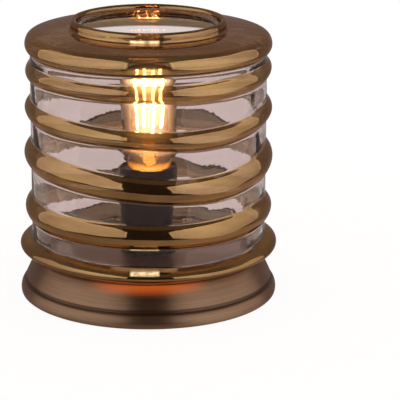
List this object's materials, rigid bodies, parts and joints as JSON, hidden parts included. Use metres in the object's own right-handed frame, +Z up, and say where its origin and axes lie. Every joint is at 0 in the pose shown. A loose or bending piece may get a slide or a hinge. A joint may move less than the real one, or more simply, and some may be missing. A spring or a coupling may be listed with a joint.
{
  "type": "bedside lamp",
  "caption": "Bedside lamp: ringed blown-glass cylinder shade with an open neck, standing loose on a spun bronze base, with a tubular filament bulb in a sleeved lampholder.",
  "frame": {"origin": "on the lamp's axis, at the surface that the felt pad stands on", "axes": "+Z up along the lamp's axis, +Y towards the cord bush in the rear of the base"},
  "size_m": [0.2026, 0.2026, 0.2194],
  "materials": {
    "shade_glass": "blown glass with bronze lustre rings",
    "base_bronze": "brushed antique bronze",
    "sleeve_bronze": "dark bronze lacquer",
    "bush_rubber": "moulded, matte",
    "felt": "pressed felt",
    "plate_steel": "zinc plated",
    "screw_steel": "bright zinc",
    "weight_iron": "sand cast, painted black",
    "tube_steel": "cut tube",
    "fixing_brass": "turned brass",
    "contact_brass": "pressed brass",
    "block_plastic": "moulded",
    "wire_earth": "wire insulation",
    "wire_live": "wire insulation",
    "wire_neutral": "wire insulation",
    "holder_plastic": "moulded phenolic",
    "core_ceramic": "unglazed steatite",
    "bulb_glass": "amber-tinted glass",
    "cap_metal": "rolled cap",
    "insulator_glass": "black vitreous insulator",
    "contact_tin": "tinned contact",
    "driver_board": "small circuit board with its parts",
    "stem_glass": "clear glass stem",
    "support_wire": "nickel wire",
    "filament": "phosphor-coated filament, lit"
  },
  "bodies": {
    "base": {"base_shell": "base_bronze", "cord_bush": "bush_rubber", "felt_pad": "felt", "bottom_plate": "plate_steel", "plate_screws": "screw_steel", "ballast_weight": "weight_iron", "spacer_tube": "tube_steel", "threaded_rod": "fixing_brass", "clamp_nuts": "fixing_brass", "rod_washer": "screw_steel", "earth_tag": "contact_brass", "terminal_block": "block_plastic", "block_terminals": "contact_brass", "block_screws": "screw_steel", "earth_wire": "wire_earth", "live_wire": "wire_live", "neutral_wire": "wire_neutral", "holder_sleeve": "sleeve_bronze", "holder_cap": "holder_plastic", "holder_core": "core_ceramic", "holder_skirt": "holder_plastic", "screw_shell": "contact_brass", "centre_contact": "contact_brass", "holder_terminals": "contact_brass", "terminal_screws": "screw_steel"},
    "shade": {"glass_shade": "shade_glass"},
    "bulb": {"bulb_glass": "bulb_glass", "bulb_cap": "cap_metal", "bulb_insulator": "insulator_glass", "bulb_contact": "contact_tin", "bulb_driver": "driver_board", "bulb_stem": "stem_glass", "filament_supports": "support_wire", "bulb_filaments": "filament"}
  },
  "joints": [
    {"name": "shade_lift", "type": "slide", "parent": "base", "child": "shade", "axis": [0, 0, 1], "range_m": [0, 0.165]},
    {"name": "bulb_turn", "type": "hinge", "parent": "base", "child": "bulb", "pos_m": [0, 0, 0.085], "axis": [0, 0, 1], "range_deg": [0, 1800]}
  ]
}
